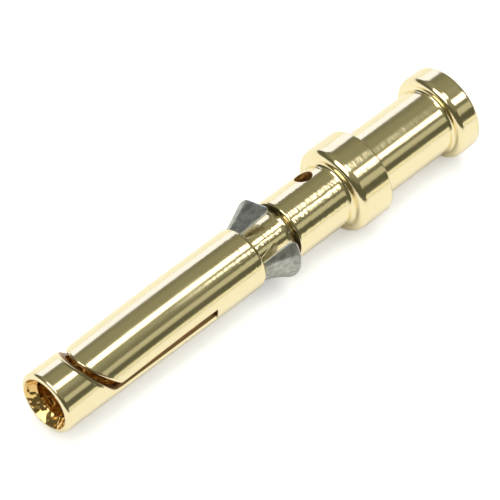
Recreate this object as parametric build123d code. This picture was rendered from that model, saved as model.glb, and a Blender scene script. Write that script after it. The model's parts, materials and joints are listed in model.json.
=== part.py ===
from build123d import *

import math
import os

# Crimp socket contact: a turned and slotted gold-plated body with a spring clip in its groove.
# The contact lies along +X, from the mouth of its socket at x = 0 to its wire end, with +Z up.
# The origin is on the axis, in the plane of the mouth. Lengths are millimetres, angles degrees.
# It is built with the tongue's crown on top, then turned about its axis to where it rests.

# Lengths of the turned body, in order from the mouth
tube_length = 10.40
groove_length = 1.81
shank_length = 2.85
collar_length = 1.64
barrel_length = 3.83
flange_length = 1.08

# Diameters of the turned body
tube_diameter = 2.60
neck_diameter = 1.82
shank_diameter = 2.60
collar_diameter = 3.65
barrel_diameter = 2.77
flange_diameter = 3.60

# Rounds left on its outer edges
mouth_round = 0.16
tube_rear_round = 0.20
shank_front_round = 0.10
collar_front_round = 0.34
collar_rear_round = 0.08
flange_front_round = 0.28
flange_rear_round = 0.14

# Socket: a funnel leads the mating pin into the entry ring, and the bore behind is wider
pin_diameter = 1.60
pin_clearance = 0.02
funnel_diameter = 2.19
funnel_depth = 0.39
entry_land = 0.80
socket_diameter = 1.96
socket_floor = 0.80

# Spring tongue: a slanted cut behind the entry ring runs into a slot along the axis
ring_length = 1.22
cut_opening = 0.31
ring_slant = 49.0
tongue_slant = 45.0
cut_foot_round = 0.60
slot_width = 0.30
slot_end = 7.73
tongue_set = 0.19

# Shares of the tube's wall that the rounds on the cut's outer edges take
ring_edge_share = 0.625
tongue_edge_share = 0.3125

# Crimp barrel: a blind bore for the stripped wire, with a hole to look at its end
crimp_bore_diameter = 1.80
crimp_bore_floor = 1.30
crimp_entry_chamfer = 0.15
drill_point_angle = 118.0
inspection_diameter = 0.75
inspection_from_collar = 0.89
inspection_clock = -26.0

# Retention clip: a flared C of spring sheet, held by the neck of the groove
clip_thickness = 0.14
clip_fit = 0.13
clip_length = 1.36
clip_end_play = 0.04
clip_rear_diameter = 3.50
clip_flare_start = 17.0
clip_gap = 1.42
clip_corner_round = 0.30
clip_clock = 28.0

# Turn of the round surfaces' seam lines about the axis, away from the side the contact lies on
seam_clock = -25.0

# Turn of the whole contact about its axis, to where it comes to rest when it lies loose
rest_turn = -11.0

# Where each length of the body starts
groove_start = tube_length
shank_start = groove_start + groove_length
collar_start = shank_start + shank_length
barrel_start = collar_start + collar_length
flange_start = barrel_start + barrel_length
body_end = flange_start + flange_length

# What the bores and cutters are worked out from
entry_radius = pin_diameter / 2 + pin_clearance
socket_radius = socket_diameter / 2
tube_radius = tube_diameter / 2
clear_of_body = max(tube_diameter, collar_diameter, flange_diameter, clip_rear_diameter)


def clocked(angle):
    """Turn about the contact's axis, measured from +Z towards -Y."""
    return Rot(X=angle)


def turned_length(start, length, diameter, front_round=0.0, rear_round=0.0):
    """One cylindrical length of the body, with the rounds on its outer edges."""
    along_x = (0, 90, 0)
    from_start = (Align.CENTER, Align.CENTER, Align.MIN)
    bar = Cylinder(diameter / 2, length, rotation=along_x, align=from_start)
    step = Pos(start, 0, 0) * clocked(seam_clock) * bar
    if front_round > 0:
        step = fillet(step.edges().filter_by(GeomType.CIRCLE).sort_by(Axis.X)[0], front_round)
    if rear_round > 0:
        step = fillet(step.edges().filter_by(GeomType.CIRCLE).sort_by(Axis.X)[-1], rear_round)
    return step


def turned_blank():
    """The outside of the body as it leaves the lathe, before it is drilled and slotted."""
    tube = turned_length(0, tube_length, tube_diameter, mouth_round, tube_rear_round)
    neck = turned_length(groove_start, groove_length, neck_diameter)
    shank = turned_length(shank_start, shank_length, shank_diameter, shank_front_round)
    collar = turned_length(
        collar_start, collar_length, collar_diameter, collar_front_round, collar_rear_round
    )
    barrel = turned_length(barrel_start, barrel_length, barrel_diameter)
    flange = turned_length(
        flange_start, flange_length, flange_diameter, flange_front_round, flange_rear_round
    )
    return tube + neck + shank + collar + barrel + flange


def drill_point(radius):
    """How far the point of a drill of this radius reaches past its full diameter."""
    return radius / math.tan(math.radians(drill_point_angle / 2))


def socket_bore():
    """The funnel, the land that guides the mating pin, and the wider bore behind it."""
    land_end = funnel_depth + entry_land
    socket_depth = groove_start - socket_floor
    outline = Polyline(
        (0, 0),
        (0, funnel_diameter / 2),
        (funnel_depth, entry_radius),
        (land_end, entry_radius),
        (land_end + socket_radius - entry_radius, socket_radius),
        (socket_depth, socket_radius),
        (socket_depth + drill_point(socket_radius), 0),
        close=True,
    )
    return revolve(make_face(outline), Axis.X)


def crimp_bore():
    """The bore for the stripped wire, drilled from the wire end, with a broken edge."""
    radius = crimp_bore_diameter / 2
    floor = shank_start + crimp_bore_floor
    outline = Polyline(
        (body_end, 0),
        (body_end, radius + crimp_entry_chamfer),
        (body_end - crimp_entry_chamfer, radius),
        (floor, radius),
        (floor - drill_point(radius), 0),
        close=True,
    )
    return revolve(make_face(outline), Axis.X)


def inspection_hole():
    """The radial hole in the shank that shows whether the wire is fully home."""
    place = collar_start - inspection_from_collar
    drill = Cylinder(
        inspection_diameter / 2, clear_of_body, align=(Align.CENTER, Align.CENTER, Align.MIN)
    )
    return Pos(place, 0, 0) * clocked(inspection_clock) * drill


def tongue_space():
    """What is taken away above the slot, from the back of the entry ring to the slot's end."""
    floor = -slot_width / 2
    rise = clear_of_body - floor
    foot = ring_length + (tube_radius - floor) / math.tan(math.radians(ring_slant))
    side_view = Polygon(
        (foot, floor),
        (foot - rise / math.tan(math.radians(ring_slant)), clear_of_body),
        (slot_end, clear_of_body),
        (slot_end, floor),
        align=None,
    )
    ring_foot = side_view.vertices().sort_by(Axis.Y)[:2].sort_by(Axis.X)[0]
    side_view = fillet(ring_foot, cut_foot_round)
    return extrude(Plane.XZ * side_view, clear_of_body, both=True)


def half_wall():
    """The section of the tongue: the part of the tube's wall above the slot."""
    wall = Circle(tube_radius) - Circle(socket_radius)
    above = Rectangle(tube_diameter, tube_diameter, align=(Align.CENTER, Align.MIN))
    section = wall & (Pos(0, slot_width / 2) * above)
    return Plane.YZ.offset(slot_end) * section


def spring_tongue():
    """The upper wall between cut and slot's end, set inwards so that it grips the pin."""
    lean = tube_radius / math.tan(math.radians(tongue_slant))
    crown_front = ring_length + cut_opening
    crown_reach = slot_end - crown_front
    bend_radius = crown_reach**2 / (2 * tongue_set)
    bend_axis = Axis((slot_end, 0, -bend_radius), (0, 1, 0))
    degrees_per_mm = math.degrees(1 / bend_radius)
    sweep = revolve(half_wall(), bend_axis, -degrees_per_mm * slot_end)
    in_front = Polygon(
        (slot_end + lean, -tube_radius),
        (slot_end - 2 * lean, 2 * tube_radius),
        (-slot_end, 2 * tube_radius),
        (-slot_end, -tube_radius),
        align=None,
    )
    waste = extrude(Plane.XZ * in_front, clear_of_body, both=True)
    front_at_axis = crown_front + lean
    to_front = -degrees_per_mm * (slot_end - front_at_axis)
    return sweep - waste.rotate(bend_axis, to_front)


def ease_cut(body):
    """Round the outer edges of the slanted cut, on the entry ring and on the tongue."""
    wall = tube_radius - socket_radius
    ring_crown = (ring_length, 0, tube_radius)
    tongue_crown = (ring_length + cut_opening, 0, tube_radius - tongue_set)
    for crown, share in ((ring_crown, ring_edge_share), (tongue_crown, tongue_edge_share)):
        edge = body.edges().sort_by_distance(crown)[0]
        body = fillet(edge, share * wall)
    return body


def contact_body():
    """The turned body: entry ring, spring tongue, groove, collar and crimp barrel in one."""
    body = turned_blank() - socket_bore() - crimp_bore() - inspection_hole()
    return ease_cut(body - tongue_space() + spring_tongue())


def clip_blank():
    """The clip's sheet as a full ring, flared like a bell towards the wire end."""
    front = groove_start + clip_end_play
    front_radius = neck_diameter / 2 + clip_fit + clip_thickness
    rear_radius = clip_rear_diameter / 2
    rise = rear_radius - front_radius
    chord = math.hypot(clip_length, rise)
    chord_angle = math.degrees(math.atan2(rise, clip_length))
    turn = 2 * (chord_angle - clip_flare_start)
    flare_radius = chord / (2 * math.sin(math.radians(turn / 2)))
    start_angle = math.radians(clip_flare_start)
    centre = (
        front - flare_radius * math.sin(start_angle),
        front_radius + flare_radius * math.cos(start_angle),
    )
    first = clip_flare_start - 90
    outside = CenterArc(centre, flare_radius, first, turn)
    inside = CenterArc(centre, flare_radius + clip_thickness, first, turn)
    ends = [Line(outside @ 0, inside @ 0), Line(outside @ 1, inside @ 1)]
    sheet = clocked(seam_clock) * revolve(make_face([outside, inside, *ends]), Axis.X)
    to_rear = (Align.MIN, Align.CENTER, Align.CENTER)
    behind = Box(clip_length, clear_of_body, clear_of_body, align=to_rear)
    return sheet - Pos(front + clip_length, 0, 0) * behind


def clip_opening():
    """The clip's parallel opening, which rounds off the two corners at its rear edge."""
    rear = groove_start + clip_end_play + clip_length
    stem = Pos(rear, 0) * Rectangle(2 * clip_length, clip_gap, align=(Align.MAX, Align.CENTER))
    past_rear = Pos(rear, 0) * Rectangle(
        clear_of_body, 2 * clear_of_body, align=(Align.MIN, Align.CENTER)
    )
    shape = stem + past_rear
    inner_corners = shape.vertices().sort_by_distance((rear, 0))[:2]
    shape = fillet(inner_corners, clip_corner_round)
    return extrude(shape, clear_of_body)


def retention_clip():
    """The spring clip: a flared ring of sheet, open on one side so that it snaps on the neck."""
    return clip_blank() - clocked(clip_clock) * clip_opening()


def laid_down(piece):
    """Turn a finished piece about the axis, from crown on top to where the contact rests."""
    return piece.rotate(Axis.X, rest_turn)


os.makedirs("parts", exist_ok=True)
export_step(laid_down(contact_body()), "parts/contact_body.step")
export_step(laid_down(retention_clip()), "parts/retention_clip.step")
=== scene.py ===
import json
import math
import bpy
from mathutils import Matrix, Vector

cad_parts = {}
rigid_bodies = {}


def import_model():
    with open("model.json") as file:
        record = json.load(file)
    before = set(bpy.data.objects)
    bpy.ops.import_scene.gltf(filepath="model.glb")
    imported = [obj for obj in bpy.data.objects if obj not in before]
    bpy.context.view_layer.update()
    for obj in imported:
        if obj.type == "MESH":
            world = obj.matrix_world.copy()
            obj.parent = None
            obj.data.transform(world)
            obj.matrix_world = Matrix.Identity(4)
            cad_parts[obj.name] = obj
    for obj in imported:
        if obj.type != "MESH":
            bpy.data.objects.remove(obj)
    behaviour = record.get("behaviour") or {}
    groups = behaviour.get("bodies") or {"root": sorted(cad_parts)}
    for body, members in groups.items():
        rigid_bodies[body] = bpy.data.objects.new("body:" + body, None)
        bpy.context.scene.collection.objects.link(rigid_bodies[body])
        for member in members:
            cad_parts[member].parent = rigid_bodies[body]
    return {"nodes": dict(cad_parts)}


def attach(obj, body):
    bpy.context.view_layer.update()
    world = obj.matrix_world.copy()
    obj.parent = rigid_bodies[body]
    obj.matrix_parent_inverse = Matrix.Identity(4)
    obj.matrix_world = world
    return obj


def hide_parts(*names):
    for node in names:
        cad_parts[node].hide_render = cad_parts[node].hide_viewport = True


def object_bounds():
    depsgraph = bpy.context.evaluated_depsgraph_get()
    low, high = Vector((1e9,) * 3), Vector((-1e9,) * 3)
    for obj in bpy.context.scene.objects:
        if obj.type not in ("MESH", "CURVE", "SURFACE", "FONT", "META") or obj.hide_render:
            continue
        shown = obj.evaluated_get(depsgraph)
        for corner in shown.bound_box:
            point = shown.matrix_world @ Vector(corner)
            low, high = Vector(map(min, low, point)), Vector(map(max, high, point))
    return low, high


bl_info = {
    "name": "Crimp socket contact",
    "version": (1, 0, 0),
    "blender": (4, 5, 0),
    "location": "3D View > Sidebar > Contact",
    "description": "Dresses the turned contact, forms its spring clip, and sets up their stage",
    "category": "Object",
}

import bpy
from mathutils import Matrix, Vector

for leftover in list(bpy.data.objects):
    bpy.data.objects.remove(leftover)
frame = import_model()
bpy.context.view_layer.update()
cad_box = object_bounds()

MM = 0.001
PER_MM = 1000.0
QUARTER_TURN = math.pi / 2
FULL_TURN = 2 * math.pi

# The contact rests with the crown of its tongue this many degrees from the top, away from -Y
REST_TURN = -11.0

# Middle and half length, along the axis, of the slanted cut with its slot, and of the hole
CUT_SPAN = (4.3 * MM, 3.7 * MM)
HOLE_SPAN = (14.17 * MM, 0.40 * MM)

# Each step with a hollow foot: its front face, and the radius of what it stands on
SHANK_STEP = (12.21 * MM, 0.91 * MM)
COLLAR_STEP = (15.06 * MM, 1.30 * MM)
FLANGE_STEP = (20.53 * MM, 1.385 * MM)

# The colour inputs and the colour output of a Mix node, which share names with its others
MIX_FIRST = 6
MIX_SECOND = 7
MIX_RESULT = 2


def linear(hex_colour):
    """The linear colour of an sRGB hex value."""
    channels = [int(hex_colour[i : i + 2], 16) / 255 for i in (0, 2, 4)]
    return [c / 12.92 if c <= 0.04045 else ((c + 0.055) / 1.055) ** 2.4 for c in channels]


def add_node(tree, kind, inputs=None, **settings):
    """Add one node: its settings, and its inputs as values, sockets, or nodes to link from."""
    node = tree.nodes.new(kind)
    for name, value in settings.items():
        setattr(node, name, value)
    for key, value in (inputs or {}).items():
        if isinstance(value, bpy.types.Node):
            value = value.outputs[0]
        if isinstance(value, bpy.types.NodeSocket):
            tree.links.new(value, node.inputs[key])
        else:
            node.inputs[key].default_value = value
    return node


def new_material(name):
    """An empty node material."""
    material = bpy.data.materials.new(name)
    material.use_nodes = True
    material.node_tree.nodes.clear()
    return material, material.node_tree


def worked_walls(tree, place, along):
    """Masks for the walls of the bores, of the slanted cut with its slot, and of the hole."""
    across = add_node(
        tree, "ShaderNodeVectorMath", {0: place, 1: (0.0, 1.0, 1.0)}, operation="MULTIPLY"
    )
    outward = add_node(tree, "ShaderNodeVectorMath", {0: across}, operation="NORMALIZE")
    normal = add_node(tree, "ShaderNodeNewGeometry").outputs["Normal"]
    facing = add_node(
        tree, "ShaderNodeVectorMath", {0: normal, 1: outward}, operation="DOT_PRODUCT"
    ).outputs["Value"]
    # A bore's wall faces inward
    inward = -0.05
    masks = [add_node(tree, "ShaderNodeMath", {0: facing, 1: inward}, operation="LESS_THAN")]
    # A wall is found by where it is, and by how far it faces outward: the cut's mostly a little
    # outward, the hole's neither outward nor inward
    for (middle, half_length), outwardness, spread in (
        (CUT_SPAN, 0.35, 0.4),
        (HOLE_SPAN, 0.0, 0.6),
    ):
        near = add_node(
            tree, "ShaderNodeMath", {0: along, 1: middle, 2: half_length}, operation="COMPARE"
        )
        slanted = add_node(
            tree, "ShaderNodeMath", {0: facing, 1: outwardness, 2: spread}, operation="COMPARE"
        )
        masks.append(add_node(tree, "ShaderNodeMath", {0: near, 1: slanted}, operation="MULTIPLY"))
    return masks


def chatter_depths(tree, along, depth):
    """The chatter's depth: full on the thin neck and shank, faint on tube, collar and barrel."""
    towards_neck = add_node(
        tree,
        "ShaderNodeMapRange",
        {
            "Value": along,
            "From Min": 7.5 * MM,
            "From Max": 10.2 * MM,
            "To Min": 0.12 * depth,
            "To Max": depth,
        },
    )
    behind_shank = add_node(
        tree,
        "ShaderNodeMapRange",
        {
            "Value": along,
            "From Min": 15.0 * MM,
            "From Max": 15.1 * MM,
            "To Min": 1.0,
            "To Max": 0.35,
        },
    )
    return add_node(
        tree, "ShaderNodeMath", {0: towards_neck, 1: behind_shank}, operation="MULTIPLY"
    )


def gold_plating(look):
    """Bright gold plating over turned copper alloy."""
    # The eye sees soft bands of the studio, with edges that the lathe's rings and chatter fray.
    # The bores are left as drilled and plated thinner, so they look uneven, with small bright
    # spots; their redder colour is partly that thinner plating and partly a painted warmth of light
    # bounced round inside the gold. The sawn cut and slot are dull, and painted a darker brown for
    # the shade deep inside them, and the wall of the inspection hole is dull too.
    material, tree = new_material("turned_gold_plating")
    place = add_node(tree, "ShaderNodeTexCoord").outputs["Object"]
    along = add_node(tree, "ShaderNodeSeparateXYZ", {0: place}).outputs["X"]
    bore, cut, hole = worked_walls(tree, place, along)
    chatter_depth = chatter_depths(tree, along, look.chatter_depth)
    tear_depth = add_node(
        tree, "ShaderNodeMath", {0: bore, 1: look.tear_depth}, operation="MULTIPLY"
    )
    # Three kinds of marks, by their size in mm along the axis and across it:
    # chatter, which shows where the bar shook most;
    # turning rings, drawn 0.09 mm apart, since the real feed of 0.03 mm is too fine to see;
    # and tool marks on the walls of the bores
    bump = None
    for mark_length, mark_width, detail, depth in (
        (0.16, 0.42, 2.0, chatter_depth),
        (0.09, 6.0, 1.0, look.turning_depth),
        (0.28, 0.28, 0.4, tear_depth),
    ):
        stretch = (PER_MM / mark_length, PER_MM / mark_width, PER_MM / mark_width)
        stretched = add_node(tree, "ShaderNodeMapping", {"Vector": place, "Scale": stretch})
        marks = add_node(
            tree, "ShaderNodeTexNoise", {"Vector": stretched, "Scale": 1.0, "Detail": detail}
        )
        relief = {"Height": marks, "Strength": 1.0, "Distance": depth}
        if bump:
            relief["Normal"] = bump
        bump = add_node(tree, "ShaderNodeBump", relief)
    # Haze in the shine, which drifts over 2.2 mm
    haze_swing = 0.03
    haze = add_node(
        tree, "ShaderNodeTexNoise", {"Vector": place, "Scale": PER_MM / 2.2, "Detail": 3.0}
    )
    outer_roughness = add_node(
        tree,
        "ShaderNodeMapRange",
        {
            "Value": haze,
            "From Min": 0.3,
            "From Max": 0.7,
            "To Min": look.roughness - haze_swing,
            "To Max": look.roughness + haze_swing,
        },
    )
    dull = add_node(tree, "ShaderNodeMath", {0: cut, 1: hole}, operation="MAXIMUM")
    roughness = add_node(
        tree, "ShaderNodeMix", {"Factor": dull, "A": outer_roughness, "B": look.cut_roughness}
    )
    # The bores and the hole take a redder colour: partly their thinner plating, partly a painted
    # warmth of light bounced inside the gold
    thin_plating_and_painted_bounce = add_node(tree, "ShaderNodeMath", {0: bore, 1: hole}, operation="MAXIMUM")
    plated_colour = add_node(
        tree,
        "ShaderNodeMix",
        {
            "Factor": thin_plating_and_painted_bounce,
            MIX_FIRST: (*look.colour, 1.0),
            MIX_SECOND: (*look.bore_colour, 1.0),
        },
        data_type="RGBA",
    )
    # The cut and slot take a darker brown: painted shade deep inside them
    colour = add_node(
        tree,
        "ShaderNodeMix",
        {
            "Factor": cut,
            MIX_FIRST: plated_colour.outputs[MIX_RESULT],
            MIX_SECOND: (*look.cut_shade_colour, 1.0),
        },
        data_type="RGBA",
    )
    shader = add_node(
        tree,
        "ShaderNodeBsdfPrincipled",
        {
            "Base Color": colour.outputs[MIX_RESULT],
            "Metallic": 1.0,
            "Roughness": roughness,
            "Normal": bump,
        },
    )
    add_node(tree, "ShaderNodeOutputMaterial", {"Surface": shader})
    return material


def spring_steel(look):
    """Stainless spring sheet, stamped, formed and tumbled."""
    # The eye sees a dark grey satin sheet with a fine grain, mottled over 0.25 mm where the
    # tumbling stones rubbed it unevenly; its rounded edges are painted near white as a highlight.
    # The grain is drawn 0.14 mm wide, since the real one is too fine to see.
    material, tree = new_material("tumbled_spring_steel")
    place = add_node(tree, "ShaderNodeTexCoord").outputs["Object"]
    grain = add_node(
        tree, "ShaderNodeTexNoise", {"Vector": place, "Scale": PER_MM / 0.14, "Detail": 4.0}
    )
    bump = add_node(
        tree, "ShaderNodeBump", {"Height": grain, "Strength": 1.0, "Distance": look.grain_depth}
    )
    patches = add_node(
        tree,
        "ShaderNodeTexNoise",
        {"Vector": place, "Scale": PER_MM / 0.25, "Detail": 5.0, "Roughness": 0.65},
    )
    rubbed = add_node(
        tree, "ShaderNodeMapRange", {"Value": patches, "From Min": 0.35, "From Max": 0.65}
    )
    face_colour = add_node(
        tree,
        "ShaderNodeMix",
        {
            "Factor": rubbed,
            MIX_FIRST: (*look.dull_colour, 1.0),
            MIX_SECOND: (*look.colour, 1.0),
        },
        data_type="RGBA",
    )
    # The rounded edges take a painted highlight, a near white colour
    edge = add_node(tree, "ShaderNodeAttribute", attribute_name="sheet_edge").outputs["Fac"]
    colour = add_node(
        tree,
        "ShaderNodeMix",
        {
            "Factor": edge,
            MIX_FIRST: face_colour.outputs[MIX_RESULT],
            MIX_SECOND: (*look.edge_highlight_colour, 1.0),
        },
        data_type="RGBA",
    )
    shader = add_node(
        tree,
        "ShaderNodeBsdfPrincipled",
        {
            "Base Color": colour.outputs[MIX_RESULT],
            "Metallic": 1.0,
            "Roughness": look.roughness,
            "Normal": bump,
        },
    )
    add_node(tree, "ShaderNodeOutputMaterial", {"Surface": shader})
    return material


def pale_floor(look):
    """Matt studio paper, rolled out flat."""
    # The eye sees plain white in the picture and a pale tone in the metal, and soft shadows.
    material, tree = new_material("matt_studio_paper")
    diffuse = add_node(tree, "ShaderNodeBsdfDiffuse", {"Color": (*look.floor_colour, 1.0)})
    rays = add_node(tree, "ShaderNodeLightPath").outputs
    to_camera = add_node(
        tree, "ShaderNodeMath", {0: rays["Is Camera Ray"], 1: look.floor_lift}, operation="MULTIPLY"
    )
    mirrored = add_node(
        tree,
        "ShaderNodeMath",
        {0: rays["Is Glossy Ray"], 1: rays["Is Transmission Ray"]},
        operation="ADD",
    )
    lift = add_node(
        tree,
        "ShaderNodeMath",
        {0: mirrored, 1: look.mirrored_lift, 2: to_camera},
        operation="MULTIPLY_ADD",
    )
    glow = add_node(tree, "ShaderNodeEmission", {"Color": (1.0, 1.0, 1.0, 1.0), "Strength": lift})
    both = add_node(tree, "ShaderNodeAddShader", {0: diffuse, 1: glow})
    add_node(tree, "ShaderNodeOutputMaterial", {"Surface": both})
    return material


# The clip's sheet starts as a box of unit cells: rows along the clip, columns round it, and
# a few narrow cells in each of its rounded edges
CLIP_ROWS = 36
CLIP_COLUMNS = 180
EDGE_CELLS = 5

CLIP_LENGTHS = (
    "Front edge",
    "Length",
    "Front radius",
    "Rear radius",
    "Thickness",
    "Opening",
    "Corner round",
    "Edge round",
)
CLIP_ANGLES = (
    "Opening clock",
    "Upper flare",
    "Lower flare",
    "Lip start",
    "Upper bend",
    "Lower bend",
)

# How a cell of the box comes to its place on the clip. Each row names a value, the operation
# that gives it, and what goes in: numbers, and names of the clip's sizes or of earlier values.
# SPREAD maps its first input from the range of the next two onto that of the last two, and
# never past it.
CLIP_FORMING = (
    ("row", "ADD", "cell x", CLIP_ROWS / 2),
    ("column", "ADD", "cell y", CLIP_COLUMNS / 2),
    # How far the row is along the sheet
    ("front angle", "SPREAD", "row", 0.0, EDGE_CELLS, 0.0, QUARTER_TURN),
    ("rear angle", "SPREAD", "row", CLIP_ROWS - EDGE_CELLS, CLIP_ROWS, 0.0, QUARTER_TURN),
    ("flat end", "SUBTRACT", "Length", "Edge round"),
    ("flat", "SPREAD", "row", EDGE_CELLS, CLIP_ROWS - EDGE_CELLS, "Edge round", "flat end"),
    ("front cosine", "COSINE", "front angle"),
    ("front part", "MULTIPLY", "Edge round", "front cosine"),
    ("flat from front", "SUBTRACT", "flat", "front part"),
    ("rear sine", "SINE", "rear angle"),
    ("rear part", "MULTIPLY", "Edge round", "rear sine"),
    ("reach", "ADD", "flat from front", "rear part"),
    # The flare: a start slope that differs between the two lips, then an even curve
    ("lip", "SPREAD", "column", 0.2 * CLIP_COLUMNS, 0.8 * CLIP_COLUMNS, 0.0, 1.0),
    ("upper slope", "TANGENT", "Upper flare"),
    ("lower slope", "TANGENT", "Lower flare"),
    ("slope change", "SUBTRACT", "lower slope", "upper slope"),
    ("slope", "MULTIPLY_ADD", "lip", "slope change", "upper slope"),
    ("rise", "SUBTRACT", "Rear radius", "Front radius"),
    ("straight rise", "MULTIPLY", "slope", "Length"),
    ("curved rise", "SUBTRACT", "rise", "straight rise"),
    ("length squared", "MULTIPLY", "Length", "Length"),
    ("curve", "DIVIDE", "curved rise", "length squared"),
    ("straight radius", "MULTIPLY_ADD", "slope", "reach", "Front radius"),
    ("reach squared", "MULTIPLY", "reach", "reach"),
    ("flared radius", "MULTIPLY_ADD", "curve", "reach squared", "straight radius"),
    ("twice the curve", "MULTIPLY", "curve", 2.0),
    ("slope here", "MULTIPLY_ADD", "twice the curve", "reach", "slope"),
    ("tilt", "ARCTANGENT", "slope here"),
    # The opening: parallel lips, with rounded corners at the rear edge
    ("corner start", "SUBTRACT", "Length", "Corner round"),
    ("into corner", "SPREAD", "reach", "corner start", "Length", 0.0, "Corner round"),
    ("into corner squared", "MULTIPLY", "into corner", "into corner"),
    ("corner squared", "MULTIPLY", "Corner round", "Corner round"),
    ("chord squared", "SUBTRACT", "corner squared", "into corner squared"),
    ("chord", "SQRT", "chord squared"),
    ("corner loss", "SUBTRACT", "Corner round", "chord"),
    ("half opening", "MULTIPLY", "Opening", 0.5),
    ("half gap", "ADD", "half opening", "corner loss"),
    ("gap share", "DIVIDE", "half gap", "flared radius"),
    ("lip angle", "ARCSINE", "gap share"),
    ("edge angle", "DIVIDE", "Edge round", "flared radius"),
    ("first angle", "ADD", "lip angle", "edge angle"),
    ("last angle", "SUBTRACT", FULL_TURN, "first angle"),
    # How far the column is round the clip, from the middle of the opening
    ("upper angle", "SPREAD", "column", 0.0, EDGE_CELLS, 0.0, QUARTER_TURN),
    ("lower angle", "SPREAD", "column", CLIP_COLUMNS - EDGE_CELLS, CLIP_COLUMNS, 0.0, QUARTER_TURN),
    (
        "even turn",
        "SPREAD",
        "column",
        EDGE_CELLS,
        CLIP_COLUMNS - EDGE_CELLS,
        "first angle",
        "last angle",
    ),
    ("upper cosine", "COSINE", "upper angle"),
    ("upper part", "MULTIPLY", "edge angle", "upper cosine"),
    ("turn from upper", "SUBTRACT", "even turn", "upper part"),
    ("lower sine", "SINE", "lower angle"),
    ("lower part", "MULTIPLY", "edge angle", "lower sine"),
    ("turned", "ADD", "turn from upper", "lower part"),
    ("clock", "SUBTRACT", "Opening clock", "turned"),
    # Each lip is pressed flat from its edge to a bend line, which is farther on the upper one
    ("turn left over", "SUBTRACT", FULL_TURN, "turned"),
    ("from opening", "MINIMUM", "turned", "turn left over"),
    ("bend line", "SPREAD", "lip", 0.0, 1.0, "Upper bend", "Lower bend"),
    ("lip span", "SUBTRACT", "bend line", "Lip start"),
    ("half lip", "MULTIPLY", "lip span", 0.5),
    ("lip middle", "ADD", "Lip start", "half lip"),
    ("past middle", "SUBTRACT", "from opening", "lip middle"),
    ("off middle", "ABSOLUTE", "past middle"),
    ("off middle in lip", "MINIMUM", "off middle", "half lip"),
    ("half lip cosine", "COSINE", "half lip"),
    ("off middle cosine", "COSINE", "off middle in lip"),
    ("pressing", "DIVIDE", "half lip cosine", "off middle cosine"),
    ("pressed radius", "MULTIPLY", "flared radius", "pressing"),
    # Half the sheet's thickness, less in the rounded edges
    ("front sine", "SINE", "front angle"),
    ("rear cosine", "COSINE", "rear angle"),
    ("upper sine", "SINE", "upper angle"),
    ("lower cosine", "COSINE", "lower angle"),
    ("lost at front", "SUBTRACT", 4.0, "front sine"),
    ("lost at ends", "SUBTRACT", "lost at front", "rear cosine"),
    ("lost at upper lip too", "SUBTRACT", "lost at ends", "upper sine"),
    ("lost all round", "SUBTRACT", "lost at upper lip too", "lower cosine"),
    ("lost", "MINIMUM", "lost all round", 1.0),
    ("half thickness", "MULTIPLY", "Thickness", 0.5),
    ("thinned by", "MULTIPLY", "Edge round", "lost"),
    ("half sheet", "SUBTRACT", "half thickness", "thinned by"),
    ("outward", "MULTIPLY", "cell z", "half sheet"),
    # The place itself
    ("tilt cosine", "COSINE", "tilt"),
    ("radius", "MULTIPLY_ADD", "outward", "tilt cosine", "pressed radius"),
    ("tilt sine", "SINE", "tilt"),
    ("leant back by", "MULTIPLY", "outward", "tilt sine"),
    ("middle along", "ADD", "Front edge", "reach"),
    ("along", "SUBTRACT", "middle along", "leant back by"),
    ("clock cosine", "COSINE", "clock"),
    ("over", "MULTIPLY", "radius", "clock cosine"),
    ("clock sine", "SINE", "clock"),
    ("towards eye", "MULTIPLY", "radius", "clock sine"),
    ("across", "MULTIPLY", "towards eye", -1.0),
)


def clip_tree(material):
    """The nodes that form the clip: a box of sheet, wrapped round the neck and flared."""
    tree = bpy.data.node_groups.new("formed_clip", "GeometryNodeTree")
    tree.interface.new_socket("Geometry", in_out="OUTPUT", socket_type="NodeSocketGeometry")
    for names, subtype in ((CLIP_LENGTHS, "DISTANCE"), (CLIP_ANGLES, "ANGLE")):
        for name in names:
            socket = tree.interface.new_socket(name, in_out="INPUT", socket_type="NodeSocketFloat")
            socket.subtype = subtype
    box = add_node(
        tree,
        "GeometryNodeMeshCube",
        {
            "Size": (CLIP_ROWS, CLIP_COLUMNS, 2.0),
            "Vertices X": CLIP_ROWS + 1,
            "Vertices Y": CLIP_COLUMNS + 1,
            "Vertices Z": 2,
        },
    )
    position = add_node(tree, "GeometryNodeInputPosition")
    cell = add_node(tree, "ShaderNodeSeparateXYZ", {0: position}).outputs
    given = add_node(tree, "NodeGroupInput").outputs
    values = {name: given[name] for name in CLIP_LENGTHS + CLIP_ANGLES}
    values.update({"cell x": cell["X"], "cell y": cell["Y"], "cell z": cell["Z"]})
    spread_inputs = ("Value", "From Min", "From Max", "To Min", "To Max")
    for name, operation, *inputs in CLIP_FORMING:
        inputs = [values.get(item, item) for item in inputs]
        if operation == "SPREAD":
            values[name] = add_node(tree, "ShaderNodeMapRange", dict(zip(spread_inputs, inputs)))
        else:
            values[name] = add_node(
                tree, "ShaderNodeMath", dict(enumerate(inputs)), operation=operation
            )
    place = add_node(
        tree,
        "ShaderNodeCombineXYZ",
        {"X": values["along"], "Y": values["across"], "Z": values["over"]},
    )
    marked = add_node(
        tree,
        "GeometryNodeStoreNamedAttribute",
        {"Geometry": box, "Name": "sheet_edge", "Value": values["lost"]},
        data_type="FLOAT",
        domain="POINT",
    )
    formed = add_node(tree, "GeometryNodeSetPosition", {"Geometry": marked, "Position": place})
    smooth = add_node(
        tree, "GeometryNodeSetShadeSmooth", {"Geometry": formed, "Shade Smooth": True}
    )
    real = add_node(tree, "GeometryNodeRealizeInstances", {"Geometry": smooth})
    dressed = add_node(tree, "GeometryNodeSetMaterial", {"Geometry": real, "Material": material})
    add_node(tree, "NodeGroupOutput", {"Geometry": dressed})
    return tree


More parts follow.
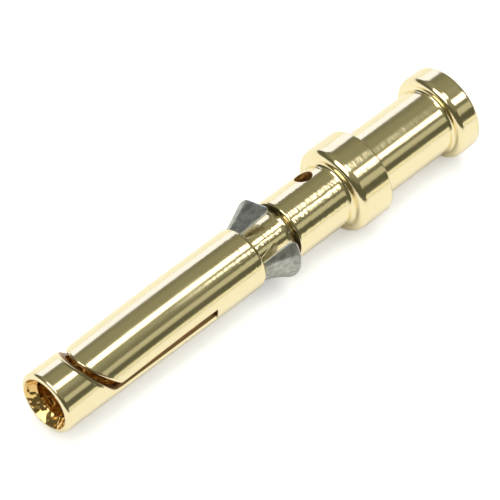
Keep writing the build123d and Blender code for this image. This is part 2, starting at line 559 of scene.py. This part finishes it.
def formed_piece(name, tree, values):
    """The plain mesh object that a node tree makes from these values."""
    seed = bpy.data.objects.new(name + "_seed", bpy.data.meshes.new(name + "_seed"))
    bpy.context.scene.collection.objects.link(seed)
    modifier = seed.modifiers.new("nodes", "NODES")
    modifier.node_group = tree
    for item in tree.interface.items_tree:
        if item.in_out == "INPUT":
            modifier[item.identifier] = values[item.name]
    graph = bpy.context.evaluated_depsgraph_get()
    mesh = bpy.data.meshes.new_from_object(seed.evaluated_get(graph))
    mesh.name = name
    bpy.data.objects.remove(seed)
    piece = bpy.data.objects.new(name, mesh)
    bpy.context.scene.collection.objects.link(piece)
    return piece


def foot_ring(name, face, foot_radius, foot_round):
    """The hollow round at the foot of a step, as a closed ring let into the step's corner."""
    sunk = 0.02 * MM
    arc_steps = 12
    around_steps = 240
    sharp_angle = math.radians(40)
    profile = []
    for step in range(arc_steps + 1):
        angle = QUARTER_TURN * step / arc_steps
        along = face - foot_round + foot_round * math.sin(angle)
        profile.append((along, foot_radius + foot_round - foot_round * math.cos(angle)))
    profile.append((face + sunk, foot_radius + foot_round))
    profile.append((face + sunk, foot_radius - sunk))
    profile.append((face - foot_round, foot_radius - sunk))
    points = []
    faces = []
    count = len(profile)
    for turn in range(around_steps):
        angle = FULL_TURN * turn / around_steps
        for along, radius in profile:
            points.append((along, radius * math.sin(angle), radius * math.cos(angle)))
        here = turn * count
        ahead = (turn + 1) % around_steps * count
        for corner in range(count):
            following = (corner + 1) % count
            faces.append((here + corner, here + following, ahead + following, ahead + corner))
    mesh = bpy.data.meshes.new(name)
    mesh.from_pydata(points, [], faces)
    mesh.shade_smooth()
    mesh.set_sharp_from_angle(angle=sharp_angle)
    ring = bpy.data.objects.new(name, mesh)
    bpy.context.scene.collection.objects.link(ring)
    return ring


def around_contact(clock, along):
    """A direction at a clock angle from the tongue's crown, leaning towards the wire end."""
    across = math.sqrt(1 - along * along)
    angle = math.radians(clock + REST_TURN)
    return Vector((along, -across * math.sin(angle), across * math.cos(angle)))


def soft_box(name, centre, normal, width, length, radiance, colour=(1.0, 1.0, 1.0)):
    """An area lamp that shines against its normal, with its length along the contact's axis."""
    lamp = bpy.data.lights.new(name, "AREA")
    lamp.shape = "RECTANGLE"
    lamp.size = length
    lamp.size_y = width
    lamp.energy = radiance * math.pi * width * length
    lamp.color = colour
    lamp_object = bpy.data.objects.new(name, lamp)
    bpy.context.scene.collection.objects.link(lamp_object)
    back = normal.normalized()
    side = Vector((1.0, 0.0, 0.0)) - back * back.x
    side.normalize()
    up = back.cross(side)
    turn = Matrix((side, up, back)).transposed()
    lamp_object.matrix_world = Matrix.Translation(centre) @ turn.to_4x4()
    lamp_object.visible_camera = False
    return lamp_object


def far_box(name, direction, distance, width, length, radiance, colour=(1.0, 1.0, 1.0)):
    """A soft box far from the contact, that faces its middle."""
    middle = Vector((10.8 * MM, 0.0, 0.0))
    centre = middle + direction.normalized() * distance
    return soft_box(name, centre, direction, width, length, radiance, colour)


def near_strip(name, clock, start, end, degrees, radiance):
    """A light strip 0.1 m off the axis, alongside it from one x to another."""
    off_axis = 0.1
    normal = around_contact(clock, 0.0)
    centre = normal * off_axis + Vector(((start + end) / 2, 0.0, 0.0))
    width = 2 * off_axis * math.tan(math.radians(degrees / 2))
    return soft_box(name, centre, normal, width, end - start, radiance)


class GoldLook(bpy.types.PropertyGroup):
    """What can be set on the gold plating."""

    colour: bpy.props.FloatVectorProperty(
        name="Gold colour",
        description="What the plating reflects when it faces the eye",
        subtype="COLOR",
        size=3,
        min=0.0,
        max=1.0,
        default=linear("F5E7BC"),
    )
    # The bore colour is partly thinner plating and partly a painted warmth of light bounced inside
    # the bores
    bore_colour: bpy.props.FloatVectorProperty(
        name="Bore colour",
        description="What the plating of the bores and the hole, thinner and painted warmer for bounced light, reflects",
        subtype="COLOR",
        size=3,
        min=0.0,
        max=1.0,
        default=linear("EFC983"),
    )
    # The cut colour is painted shade, darker than the gold, for the walls deep inside the cut and
    # slot
    cut_shade_colour: bpy.props.FloatVectorProperty(
        name="Cut colour",
        description="What the walls of the sawn cut and slot reflect",
        subtype="COLOR",
        size=3,
        min=0.0,
        max=1.0,
        default=linear("A8845C"),
    )
    roughness: bpy.props.FloatProperty(
        name="Gold roughness",
        description="Blur of its reflections",
        default=0.14,
        min=0.03,
        max=1.0,
    )
    cut_roughness: bpy.props.FloatProperty(
        name="Cut roughness",
        description="Blur of the reflections in the sawn cut, the slot and the hole",
        default=0.4,
        min=0.03,
        max=1.0,
    )
    tear_depth: bpy.props.FloatProperty(
        name="Tool mark depth",
        description="Depth of the marks on the walls of the bores",
        default=0.11 * MM,
        unit="LENGTH",
        precision=6,
    )
    chatter_depth: bpy.props.FloatProperty(
        name="Chatter depth",
        description="Depth of the marks that the cutting tool's shake leaves",
        default=0.0090 * MM,
        unit="LENGTH",
        precision=6,
    )
    turning_depth: bpy.props.FloatProperty(
        name="Turning mark depth",
        description="Depth of the rings that the cutting tool leaves",
        default=0.0005 * MM,
        unit="LENGTH",
        precision=6,
    )


class FeetLook(bpy.types.PropertyGroup):
    """What can be set on the hollow rounds at the foot of three steps."""

    neck_foot_round: bpy.props.FloatProperty(
        name="Neck foot round",
        description="Radius of the hollow round between neck and shank",
        default=0.29 * MM,
        unit="LENGTH",
        precision=5,
    )
    collar_foot_round: bpy.props.FloatProperty(
        name="Collar foot round",
        description="Radius of the hollow round in front of the collar",
        default=0.18 * MM,
        unit="LENGTH",
        precision=5,
    )
    flange_foot_round: bpy.props.FloatProperty(
        name="Flange foot round",
        description="Radius of the hollow round in front of the flange",
        default=0.13 * MM,
        unit="LENGTH",
        precision=5,
    )


class ClipLook(bpy.types.PropertyGroup):
    """What can be set on the spring clip."""

    colour: bpy.props.FloatVectorProperty(
        name="Steel colour",
        description="What the spring sheet reflects when it faces the eye",
        subtype="COLOR",
        size=3,
        min=0.0,
        max=1.0,
        default=linear("C2C2B9"),
    )
    dull_colour: bpy.props.FloatVectorProperty(
        name="Dull colour",
        description="What the sheet reflects where the tumbling stones rubbed it least",
        subtype="COLOR",
        size=3,
        min=0.0,
        max=1.0,
        default=linear("8F8F88"),
    )
    # The edge colour is a painted highlight along the sheet's rounded edges
    edge_highlight_colour: bpy.props.FloatVectorProperty(
        name="Edge highlight colour",
        description="What the sheet's edges, painted bright as a highlight, reflect when they face the eye",
        subtype="COLOR",
        size=3,
        min=0.0,
        max=1.0,
        default=linear("FAFAF6"),
    )
    roughness: bpy.props.FloatProperty(
        name="Steel roughness",
        description="Blur of its reflections",
        default=0.36,
        min=0.03,
        max=1.0,
    )
    grain_depth: bpy.props.FloatProperty(
        name="Grain depth",
        description="Depth of the tumbled grain",
        default=0.0070 * MM,
        unit="LENGTH",
        precision=6,
    )
    front_edge: bpy.props.FloatProperty(
        name="Front edge",
        description="Where the clip starts behind the mouth",
        default=10.45 * MM,
        unit="LENGTH",
        precision=5,
    )
    length: bpy.props.FloatProperty(
        name="Length",
        description="Length of the clip along the axis",
        default=1.35 * MM,
        unit="LENGTH",
        precision=5,
    )
    front_radius: bpy.props.FloatProperty(
        name="Front radius",
        description="Middle of the sheet at the front edge",
        default=1.11 * MM,
        unit="LENGTH",
        precision=5,
    )
    rear_radius: bpy.props.FloatProperty(
        name="Rear radius",
        description="Middle of the sheet at the rear edge",
        default=1.69 * MM,
        unit="LENGTH",
        precision=5,
    )
    thickness: bpy.props.FloatProperty(
        name="Thickness",
        description="Thickness of the sheet",
        default=0.14 * MM,
        unit="LENGTH",
        precision=5,
    )
    opening: bpy.props.FloatProperty(
        name="Opening",
        description="Width between the two lips",
        default=1.42 * MM,
        unit="LENGTH",
        precision=5,
    )
    corner_round: bpy.props.FloatProperty(
        name="Corner round",
        description="Radius of the lips' rear corners",
        default=0.30 * MM,
        unit="LENGTH",
        precision=5,
    )
    edge_round: bpy.props.FloatProperty(
        name="Edge round",
        description="Radius that tumbling leaves on the sheet's edges",
        default=0.055 * MM,
        unit="LENGTH",
        precision=5,
    )
    opening_clock: bpy.props.FloatProperty(
        name="Opening clock",
        description="Where the opening is, from the tongue's crown towards -Y",
        default=math.radians(28.0),
        subtype="ANGLE",
    )
    upper_flare: bpy.props.FloatProperty(
        name="Upper flare",
        description="Slope at which the upper lip starts",
        default=math.radians(22.0),
        subtype="ANGLE",
    )
    lower_flare: bpy.props.FloatProperty(
        name="Lower flare",
        description="Slope at which the lower lip starts",
        default=math.radians(6.0),
        subtype="ANGLE",
    )
    lip_start: bpy.props.FloatProperty(
        name="Lip start",
        description="How far from the opening's middle the flat of each lip starts",
        default=math.radians(23.0),
        subtype="ANGLE",
    )
    upper_bend: bpy.props.FloatProperty(
        name="Upper bend",
        description="How far from the opening's middle the flat of the upper lip ends",
        default=math.radians(72.0),
        subtype="ANGLE",
    )
    lower_bend: bpy.props.FloatProperty(
        name="Lower bend",
        description="How far from the opening's middle the flat of the lower lip ends",
        default=math.radians(50.0),
        subtype="ANGLE",
    )


class StageLook(bpy.types.PropertyGroup):
    """What can be set on the floor and the light."""

    floor_colour: bpy.props.FloatVectorProperty(
        name="Floor colour",
        description="Colour of the studio paper",
        subtype="COLOR",
        size=3,
        min=0.0,
        max=1.0,
        default=(0.85, 0.85, 0.85),
    )
    floor_lift: bpy.props.FloatProperty(
        name="Floor lift", description="Light added to the paper in the picture", default=0.40
    )
    mirrored_lift: bpy.props.FloatProperty(
        name="Mirrored lift", description="Light added to the paper in the metal", default=0.04
    )
    ceiling: bpy.props.FloatProperty(
        name="Ceiling", description="Brightness of the room overhead", default=0.28, min=0.0
    )
    walls: bpy.props.FloatProperty(
        name="Walls", description="Brightness of the room low down", default=0.11, min=0.0
    )


class CONTACT_OT_body(bpy.types.Operator):
    """Dress the turned contact body in gold plating"""

    bl_idname = "contact.body"
    bl_label = "Contact body"
    bl_options = {"REGISTER", "UNDO"}

    def execute(self, context):
        body = frame["nodes"]["contact_body"]
        body.data.materials.clear()
        body.data.materials.append(gold_plating(context.scene.contact_gold))
        return {"FINISHED"}


class CONTACT_OT_feet(bpy.types.Operator):
    """Add the hollow rounds that the cutting tool's nose leaves at the foot of three steps"""

    bl_idname = "contact.feet"
    bl_label = "Foot rounds"
    bl_options = {"REGISTER", "UNDO"}

    def execute(self, context):
        look = context.scene.contact_feet
        plating = frame["nodes"]["contact_body"].data.materials[0]
        for name, step, foot_round in (
            ("neck_foot_round", SHANK_STEP, look.neck_foot_round),
            ("collar_foot_round", COLLAR_STEP, look.collar_foot_round),
            ("flange_foot_round", FLANGE_STEP, look.flange_foot_round),
        ):
            ring = foot_ring(name, *step, foot_round)
            ring.data.materials.append(plating)
            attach(ring, "root")
        return {"FINISHED"}


class CONTACT_OT_clip(bpy.types.Operator):
    """Form the retention clip from spring sheet"""

    bl_idname = "contact.clip"
    bl_label = "Retention clip"
    bl_options = {"REGISTER", "UNDO"}

    def execute(self, context):
        look = context.scene.contact_clip
        values = {}
        # Each input of the clip's nodes is a setting of the same name
        for name in CLIP_LENGTHS + CLIP_ANGLES:
            values[name] = getattr(look, name.lower().replace(" ", "_"))
        values["Opening clock"] += math.radians(REST_TURN)
        clip = formed_piece("formed_retention_clip", clip_tree(spring_steel(look)), values)
        if len(clip.data.polygons) == 0:
            raise RuntimeError("The clip's nodes made no faces")
        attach(clip, "root")
        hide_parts("retention_clip")
        return {"FINISHED"}


class CONTACT_OT_stage(bpy.types.Operator):
    """Lay the floor, hang the soft boxes and place the camera"""

    bl_idname = "contact.stage"
    bl_label = "Stage"
    bl_options = {"REGISTER", "UNDO"}

    def execute(self, context):
        look = context.scene.contact_stage
        self.lay_floor(context, look)
        self.light_room(context, look)
        self.hang_boxes()
        self.place_camera(context)
        context.scene.view_settings.view_transform = "Standard"
        return {"FINISHED"}

    def lay_floor(self, context, look):
        clearance = 0.002 * MM
        height = cad_box[0].z - clearance
        reach = 3.0
        corners = [(-reach, -reach), (reach, -reach), (reach, reach), (-reach, reach)]
        mesh = bpy.data.meshes.new("floor")
        mesh.from_pydata([(x, y, height) for x, y in corners], [], [(0, 1, 2, 3)])
        mesh.materials.append(pale_floor(look))
        floor = bpy.data.objects.new("floor", mesh)
        context.scene.collection.objects.link(floor)

    def light_room(self, context, look):
        world = bpy.data.worlds.new("studio_room")
        context.scene.world = world
        world.use_nodes = True
        tree = world.node_tree
        tree.nodes.clear()
        direction = add_node(tree, "ShaderNodeTexCoord").outputs["Generated"]
        # The room is brightest overhead, and a little brighter on its far side
        brightest = (0.0, 0.2, 0.98)
        height = add_node(
            tree, "ShaderNodeVectorMath", {0: direction, 1: brightest}, operation="DOT_PRODUCT"
        )
        brightness = add_node(
            tree,
            "ShaderNodeMapRange",
            {
                "Value": height.outputs["Value"],
                "From Min": 0.45,
                "From Max": 0.8,
                "To Min": look.walls,
                "To Max": look.ceiling,
            },
        )
        tint = (1.0, 0.99, 0.70, 1.0)
        room = add_node(tree, "ShaderNodeBackground", {"Color": tint, "Strength": brightness})
        add_node(tree, "ShaderNodeOutputWorld", {"Surface": room})

    def hang_boxes(self):
        # Each strip: its clock angle, where it starts and ends, and its width in degrees
        strip_radiance = 2.3
        near_strip("strip_over_tube", 10.5, 0.0, 0.070, 16.0, strip_radiance)
        near_strip("strip_over_barrel", 35.0, 0.0719, 0.095, 15.0, strip_radiance)
        near_strip("strip_over_shank", 31.0, 0.0600, 0.0719, 8.0, strip_radiance)
        # Each box: its direction, its distance, width and length in metres, and its radiance
        cool = (0.70, 0.74, 1.0)
        warm = (1.0, 0.99, 0.80)
        far_box("far_side_box", around_contact(-66, 0.45), 0.5, 0.21, 0.34, 1.45, cool)
        far_box("near_side_box", around_contact(62, 0.48), 0.6, 0.15, 0.3, 0.45, warm)
        far_box("low_side_box", around_contact(96, 0.48), 0.6, 0.075, 0.3, 0.95, warm)
        far_box("front_box", around_contact(-3, -0.63), 0.5, 0.35, 0.35, 2.2)
        # This one lights the paper alone, so that it stays white without a highlight in the gold
        paper_light = far_box("paper_light", Vector((0.0, 0.0, 1.0)), 1.0, 1.2, 1.2, 1.9)
        paper_light.visible_glossy = False

    def place_camera(self, context):
        camera_data = bpy.data.cameras.new("camera")
        camera_data.sensor_width = 36.0
        camera_data.lens = 360.0
        camera_data.clip_start = 0.01
        camera_data.clip_end = 10.0
        # Where it looks from while the tongue's crown is on top, and how many mm it is to the
        # right, up and back in its own view. It then turns with the contact.
        to_right, to_top, away = 7.58, 5.70, 184.5
        back = Vector((-0.4772, -0.476, 0.739)).normalized()
        right = Vector((0.0, 0.0, 1.0)).cross(back).normalized()
        up = back.cross(right)
        place = (right * to_right + up * to_top + back * away) * MM
        crown_up = Matrix.Translation(place) @ Matrix((right, up, back)).transposed().to_4x4()
        camera = bpy.data.objects.new("camera", camera_data)
        context.scene.collection.objects.link(camera)
        camera.matrix_world = Matrix.Rotation(math.radians(REST_TURN), 4, "X") @ crown_up
        context.scene.camera = camera


class CONTACT_PT_panel(bpy.types.Panel):
    """The sizes and colours of the contact, and the buttons that make it"""

    bl_label = "Crimp socket contact"
    bl_space_type = "VIEW_3D"
    bl_region_type = "UI"
    bl_category = "Contact"

    def draw(self, context):
        scene = context.scene
        for look, operator in (
            (scene.contact_gold, CONTACT_OT_body),
            (scene.contact_feet, CONTACT_OT_feet),
            (scene.contact_clip, CONTACT_OT_clip),
            (scene.contact_stage, CONTACT_OT_stage),
        ):
            column = self.layout.column(align=True)
            for name in look.__annotations__:
                column.prop(look, name)
            column.operator(operator.bl_idname)


CLASSES = (
    GoldLook,
    FeetLook,
    ClipLook,
    StageLook,
    CONTACT_OT_body,
    CONTACT_OT_feet,
    CONTACT_OT_clip,
    CONTACT_OT_stage,
    CONTACT_PT_panel,
)


def register():
    for item in CLASSES:
        bpy.utils.register_class(item)
    bpy.types.Scene.contact_gold = bpy.props.PointerProperty(type=GoldLook)
    bpy.types.Scene.contact_feet = bpy.props.PointerProperty(type=FeetLook)
    bpy.types.Scene.contact_clip = bpy.props.PointerProperty(type=ClipLook)
    bpy.types.Scene.contact_stage = bpy.props.PointerProperty(type=StageLook)


def unregister():
    del bpy.types.Scene.contact_stage
    del bpy.types.Scene.contact_clip
    del bpy.types.Scene.contact_feet
    del bpy.types.Scene.contact_gold
    for item in reversed(CLASSES):
        bpy.utils.unregister_class(item)


def main():
    register()
    bpy.ops.contact.body()
    bpy.ops.contact.feet()
    bpy.ops.contact.clip()
    bpy.ops.contact.stage()


if __name__ == "__main__":
    main()
